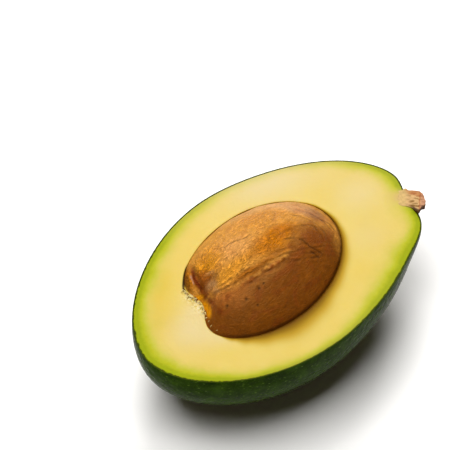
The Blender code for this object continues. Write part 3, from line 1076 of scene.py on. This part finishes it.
# Threads of flesh torn off beside the notch of the stone
tornLook = {
    "seed": 7,
    "count": 54,
    "segments": 8,
    "rings": 12,
    "along": ((-28.6, 12.6), (-28.5, 9.4), (-27.6, 7.4), (-28.2, 4.6), (-29.2, 1.6), (-30.3, -1.8),
        (-31.1, -4.6), (-30.9, -7.4)),
    "inwards": 0.7,           # mm from that line towards the stone
    "length": (0.7, 2.6),     # mm
    "thickness": (0.09, 0.20),
    "heading": (2.2, 4.4),    # radians
    "curl": (-1.4, 1.4),
    "rise": (0.1, 0.7),       # mm
    "brownShare": 0.3,
    "pale": "#DCCB88",
    "brown": "#7A4610",
}
print("torn fibres")
random.seed(tornLook["seed"])
tornPieces = []
for index in range(tornLook["count"]):
    place = random.random() ** 1.35 * (len(tornLook["along"]) - 1.001)
    spot = int(place)
    startX = blendOf(tornLook["along"][spot][0], tornLook["along"][spot + 1][0], place - spot)
    startY = blendOf(tornLook["along"][spot][1], tornLook["along"][spot + 1][1], place - spot)
    heading = random.uniform(*tornLook["heading"])
    length = random.uniform(*tornLook["length"]) * blendOf(1.0, 0.4, place / len(tornLook["along"]))
    radius = random.uniform(*tornLook["thickness"])
    curl = random.uniform(*tornLook["curl"])
    rise = random.uniform(*tornLook["rise"])
    brown = 1.0 if random.random() < tornLook["brownShare"] + 0.12 * place / 3 else 0.0
    fibre = addBall("tornFibre", tornLook["segments"], tornLook["rings"])
    points = []
    tones = []
    for column, ring in ballPlaces(fibre, tornLook["segments"], tornLook["rings"]):
        part = ring / tornLook["rings"]
        angle = heading + curl * (part - 0.3)
        middleX = startX + tornLook["inwards"] + math.cos(angle) * length * part
        middleY = startY + random.uniform(-0.02, 0.02) + math.sin(angle) * length * part
        thick = radius * math.sin(math.pi * min(max(part, 0.0), 1.0)) ** 0.6 * (1.15 - 0.6 * part)
        turn = 2 * math.pi * column / tornLook["segments"]
        sideways = Vector((-math.sin(angle), math.cos(angle), 0))
        point = Vector((middleX, middleY, 0.05 + rise * math.sin(math.pi * part)))
        points.append(point + (sideways * math.cos(turn) + Vector((0, 0, 1)) * math.sin(turn)) * thick)
        tones.append(max(brown, smoothStep(0.75, 1.0, part) * 0.7))
    placeVertices(fibre, points)
    addAttribute(fibre, "brownTone", tones)
    tornPieces.append(fibre)
bpy.ops.object.select_all(action='DESELECT')
for fibre in tornPieces:
    fibre.select_set(True)
bpy.context.view_layer.objects.active = tornPieces[0]
bpy.ops.object.join()
tornFibres = bpy.context.object
tornFibres.name = "tornFibres"
tornFibres.data.name = "tornFibres"
clothe(tornFibres, None)

# Flesh threads torn off with the coat of the seed: soft, moist and milky, with dry brown ends
material, tree = newMaterial("tornFleshThread")
threadColour = mixOf(tree, attributeOf(tree, "brownTone"), tornLook["pale"], tornLook["brown"])
finishMaterial(tornFibres, material, {
    "Base Color": threadColour, "Roughness": 0.4, "IOR": 1.4, "Specular IOR Level": 0.3,
})

# Floor, light and camera
studio = {
    "floorSize": 6.0,
    "floorColour": "#FFFFFF",
    "roomHigh": 0.03,         # brightness of the room overhead and along its pale walls
    "roomLow": 0.14,
    "roomBlend": (0.10, 0.35),            # how high up, 1 being overhead, the walls go over into it
    "roomColour": "#FFD9C8",
    "lightColour": (1.0, 0.99, 0.97),
    "keyPower": 10.5,         # large softbox overhead, a little to the left
    "keySize": 0.60,
    "keyDistance": 1.0,
    "keyTowards": Vector((-0.171, 0.030, 0.985)).normalized(),
    "backPower": 6.8,         # softbox behind, at the stem's side
    "backSize": 0.50,
    "backDistance": 1.0,
    "backTowards": Vector((0.490, 0.415, 0.767)).normalized(),
}
print("studio")
bpy.ops.object.select_all(action='DESELECT')
bpy.ops.mesh.primitive_plane_add(size=studio["floorSize"], location=(0, 0, 0))
floor = bpy.context.object
floor.name = "floor"
material, tree = newMaterial("palePaintedFloor")
finishMaterial(floor, material, {
    "Base Color": hexColour(studio["floorColour"]), "Roughness": 0.9, "Specular IOR Level": 0.1,
})

world = bpy.data.worlds.new("softWhiteRoom")
bpy.context.scene.world = world
world.use_nodes = True
tree = world.node_tree
tree.nodes.clear()
roomWay = addNode(tree, "ShaderNodeTexCoord").outputs["Generated"]
roomHeight = addNode(tree, "ShaderNodeSeparateXYZ", None, {"Vector": roomWay}).outputs["Z"]
roomLevels = (studio["roomLow"], studio["roomHigh"])
roomLevel = rangeOf(tree, roomHeight, studio["roomBlend"], roomLevels, 'SMOOTHSTEP')
roomLight = addNode(tree, "ShaderNodeBackground", None,
    {"Color": hexColour(studio["roomColour"]), "Strength": roomLevel})
addNode(tree, "ShaderNodeOutputWorld", None, {"Surface": roomLight.outputs["Background"]})

for lightName in ("key", "back"):
    lightData = bpy.data.lights.new(lightName + "Light", 'AREA')
    lightData.shape = 'SQUARE'
    lightData.size = studio[lightName + "Size"]
    lightData.energy = studio[lightName + "Power"]
    lightData.color = studio["lightColour"]
    light = bpy.data.objects.new(lightName + "Light", lightData)
    bpy.context.scene.collection.objects.link(light)
    towards = studio[lightName + "Towards"]
    light.location = faceMiddle + towards * studio[lightName + "Distance"]
    light.rotation_euler = towards.to_track_quat('Z', 'Y').to_euler()

# The photograph's view of the face: axes of its picture plane, and how far away it was taken
photoView = {
    "right": Vector((0.7345, -0.6786, 0.0)),
    "up": Vector((0.5490, 0.5942, 0.5878)),
    "back": Vector((-0.3989, -0.4317, 0.8090)),
    "distance": 0.6179,
    "aim": (-0.61, 23.39, 0.0),    # mm on the cut face, the middle of the picture
    "lens": 152.0,
}
camera = bpy.data.objects.new("camera", bpy.data.cameras.new("camera"))
bpy.context.scene.collection.objects.link(camera)
camera.data.lens = photoView["lens"]
camera.data.sensor_width = 36
camera.data.clip_start = 0.01
camera.location = faceMiddle + photoView["back"] * photoView["distance"]
straightBack = (camera.location - toWorld(photoView["aim"])).normalized()
lean = photoView["back"].rotation_difference(straightBack).to_matrix()
axes = lean @ Matrix((photoView["right"], photoView["up"], photoView["back"])).transposed()
camera.rotation_euler = axes.to_euler()
bpy.context.scene.camera = camera

bpy.context.scene.view_settings.view_transform = 'Standard'
bpy.context.scene.view_settings.look = 'None'
bpy.context.scene.view_settings.exposure = 0
bpy.context.scene.view_settings.gamma = 1

bpy.ops.object.select_all(action='DESELECT')
